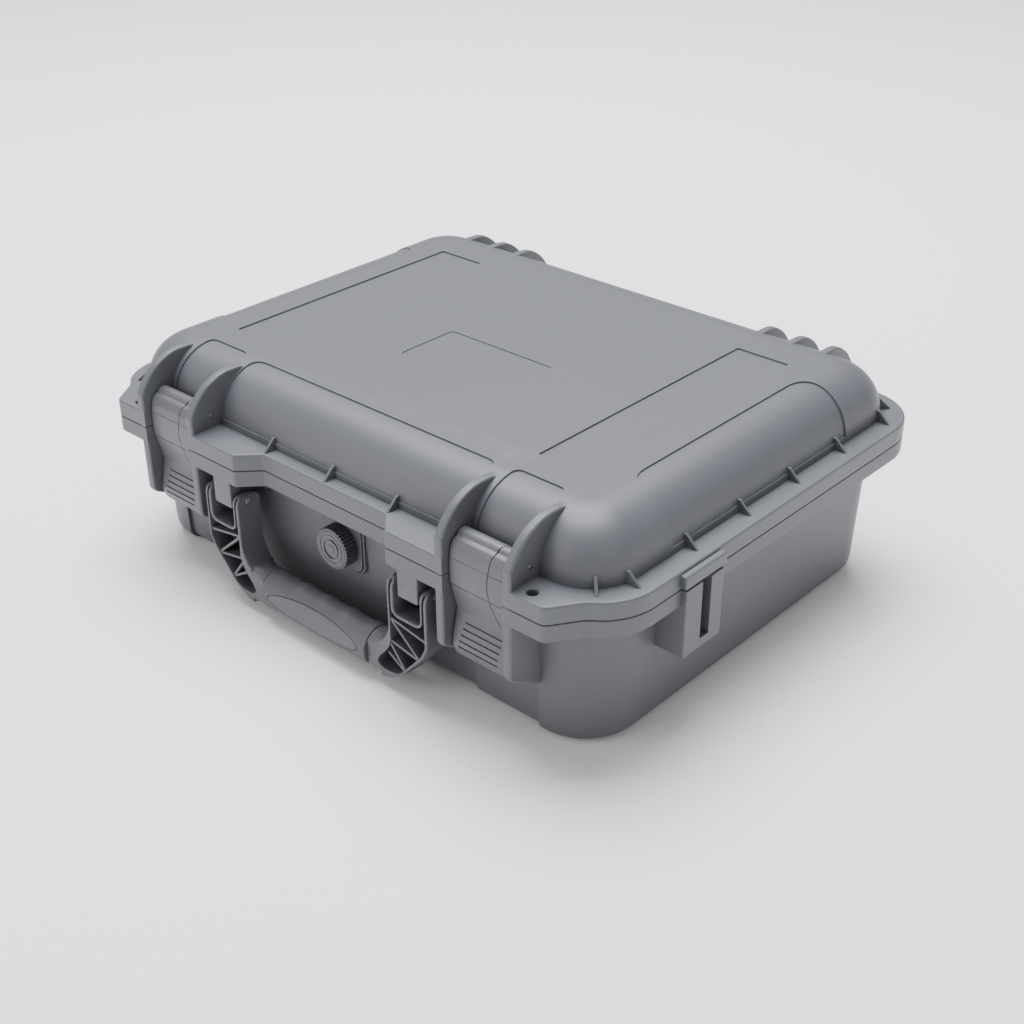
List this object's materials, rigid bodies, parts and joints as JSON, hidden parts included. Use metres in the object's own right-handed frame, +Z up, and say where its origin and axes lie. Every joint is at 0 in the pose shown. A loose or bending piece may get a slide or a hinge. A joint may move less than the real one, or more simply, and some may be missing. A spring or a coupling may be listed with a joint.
{
  "type": "hard carrying case",
  "caption": "Moulded hard case with a domed lid on a rear hinge, draw latches, a swinging front handle, an air valve, a seal and fitted foam for a folding camera drone.",
  "frame": {"origin": "middle of the case's bounding box, on the surface that it stands on", "axes": "+X along the front, -Y towards the handle, +Z up"},
  "size_m": [0.43, 0.34, 0.14],
  "materials": {
    "base_plastic": "fine-textured slate grey moulding",
    "lid_plastic": "fine-textured slate grey moulding",
    "latch_plastic": "satin slate grey moulding",
    "handle_plastic": "satin dark slate moulding",
    "grip_rubber": "soft overmoulded grip",
    "valve_plastic": "satin moulding",
    "seal_rubber": "black soft rubber",
    "membrane": "woven vent film",
    "pin_steel": "drawn steel pin",
    "foam": "closed-cell foam"
  },
  "bodies": {
    "base": {"base_shell": "base_plastic", "floor_pad": "foam", "base_foam": "foam", "handle_pin_left": "pin_steel", "handle_pin_right": "pin_steel", "hinge_pin_left": "pin_steel", "hinge_pin_right": "pin_steel", "valve_body": "valve_plastic", "valve_oring": "seal_rubber", "valve_membrane": "membrane", "valve_nut": "valve_plastic"},
    "lid": {"lid_shell": "lid_plastic", "lid_seal": "seal_rubber", "lid_foam": "foam", "latch_left_lever_pin": "pin_steel", "latch_right_lever_pin": "pin_steel"},
    "latch_left": {"latch_left_lever": "latch_plastic", "latch_left_claw_pin": "pin_steel"},
    "claw_left": {"latch_left_claw": "latch_plastic"},
    "latch_right": {"latch_right_lever": "latch_plastic", "latch_right_claw_pin": "pin_steel"},
    "claw_right": {"latch_right_claw": "latch_plastic"},
    "handle": {"handle_frame": "handle_plastic", "handle_grip": "grip_rubber", "grip_inlay": "grip_rubber"},
    "knob": {"valve_knob": "valve_plastic"}
  },
  "joints": [
    {"name": "lid_hinge", "type": "hinge", "parent": "base", "child": "lid", "pos_m": [0, 0.1635, 0.096], "axis": [-1, 0, 0], "range_deg": [0, 100]},
    {"name": "latch_left_swing", "type": "hinge", "parent": "lid", "child": "latch_left", "pos_m": [-0.13, -0.1513, 0.115], "axis": [-1, 0, 0], "range_deg": [0, 100]},
    {"name": "claw_left_swing", "type": "hinge", "parent": "latch_left", "child": "claw_left", "pos_m": [-0.13, -0.1553, 0.095], "axis": [-1, 0, 0], "range_deg": [-16, 0]},
    {"name": "latch_right_swing", "type": "hinge", "parent": "lid", "child": "latch_right", "pos_m": [0.13, -0.1513, 0.115], "axis": [-1, 0, 0], "range_deg": [0, 100]},
    {"name": "claw_right_swing", "type": "hinge", "parent": "latch_right", "child": "claw_right", "pos_m": [0.13, -0.1553, 0.095], "axis": [-1, 0, 0], "range_deg": [-16, 0]},
    {"name": "handle_swing", "type": "hinge", "parent": "base", "child": "handle", "pos_m": [0, -0.1585, 0.0725], "axis": [-1, 0, 0], "range_deg": [0, 100]},
    {"name": "knob_turn", "type": "hinge", "parent": "base", "child": "knob", "pos_m": [0, -0.15, 0.061], "axis": [0, 1, 0], "range_deg": [0, 180]}
  ]
}
